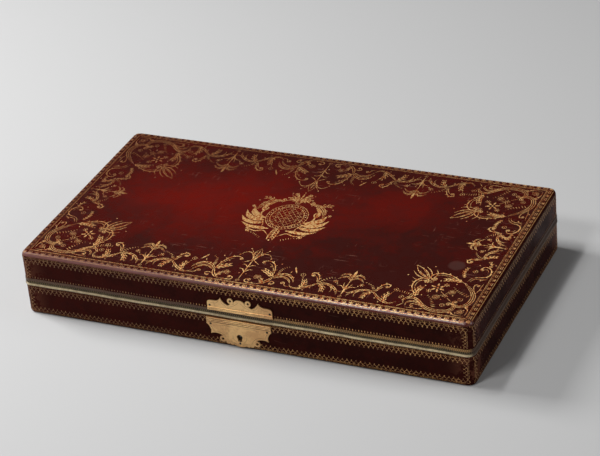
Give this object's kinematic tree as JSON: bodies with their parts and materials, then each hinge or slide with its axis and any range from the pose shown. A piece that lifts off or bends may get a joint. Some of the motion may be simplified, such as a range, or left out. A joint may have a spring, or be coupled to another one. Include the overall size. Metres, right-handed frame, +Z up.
{
  "type": "letter writing box with drawer",
  "caption": "Flat gold-tooled leather writing box with a hinged lid, a scrolled brass lock and a dovetailed writing drawer in its left end.",
  "frame": {"origin": "centre of the underside of the box, on the surface that it stands on", "axes": "+X along the length, to the right as seen from the front; -Y is the front with the lock; +Z up"},
  "size_m": [0.4861, 0.2705, 0.0705],
  "materials": {
    "red_leather": "polished goatskin with gold tooling",
    "silver_braid": "silver thread braid",
    "dark_braid": "tarnished thread braid",
    "silk": "watered silk on card",
    "drawer_paper": "matte paper",
    "underside_paper": "worn leather and paper",
    "brass": "old polished brass",
    "lock_steel": "filed iron",
    "pot_glaze": "white glaze",
    "pewter": "dull pewter",
    "wood": "planed softwood"
  },
  "bodies": {
    "base": {"base_back_wall": "wood", "base_bottom_board": "wood", "base_bulkhead": "wood", "base_front_wall": "wood", "base_leather": "red_leather", "base_left_end": "wood", "base_right_end": "wood", "base_rim_braid": "silver_braid", "base_underside_cover": "underside_paper", "drawer_guides": "wood", "drawer_shelf": "wood", "drawer_stop": "wood", "hinge_base_leaf_left": "brass", "hinge_base_leaf_right": "brass", "hinge_base_nails": "brass", "hinge_pin_left": "brass", "hinge_pin_right": "brass", "lock_back_plate": "lock_steel", "lock_case": "lock_steel", "lock_key_post": "lock_steel", "lock_spring": "lock_steel", "lower_lock_plate": "brass", "lower_plate_pins": "brass", "paper_well_lining": "silk", "shelf_lining": "silk"},
    "lid": {"lid_top_board": "wood", "lid_front_wall": "wood", "lid_back_wall": "wood", "lid_left_end": "wood", "lid_right_end": "wood", "lid_leather": "red_leather", "lid_rim_braid": "dark_braid", "lid_lining": "silk", "lid_staple_plate": "brass", "upper_lock_plate": "brass", "upper_plate_pins": "brass", "hinge_lid_leaf_left": "brass", "hinge_lid_leaf_right": "brass", "hinge_lid_nails": "brass"},
    "drawer": {"drawer_front": "wood", "drawer_front_leather": "red_leather", "drawer_side_front": "wood", "drawer_side_rear": "wood", "drawer_back": "wood", "drawer_bottom": "wood", "drawer_paper": "drawer_paper", "drawer_dividers": "wood", "ink_pot": "pot_glaze", "ink_pot_cover": "pewter", "pounce_pot": "pot_glaze", "pounce_pot_sander": "pewter", "pull_rosette": "brass", "pull_post": "brass"},
    "ring": {"pull_ring": "brass"},
    "bolt": {"lock_bolt": "lock_steel"}
  },
  "joints": [
    {"name": "lid_hinge", "type": "hinge", "parent": "base", "child": "lid", "pos_m": [0, 0.1345, 0.03655], "axis": [-1, 0, 0], "range_deg": [0, 105]},
    {"name": "drawer_slide", "type": "slide", "parent": "base", "child": "drawer", "axis": [-1, 0, 0], "range_m": [0, 0.095]},
    {"name": "bolt_slide", "type": "slide", "parent": "base", "child": "bolt", "axis": [1, 0, 0], "range_m": [0, 0.0045]},
    {"name": "ring_swing", "type": "hinge", "parent": "drawer", "child": "ring", "pos_m": [-0.2436, 0, 0.023], "axis": [0, 1, 0], "range_deg": [0, 90]}
  ]
}
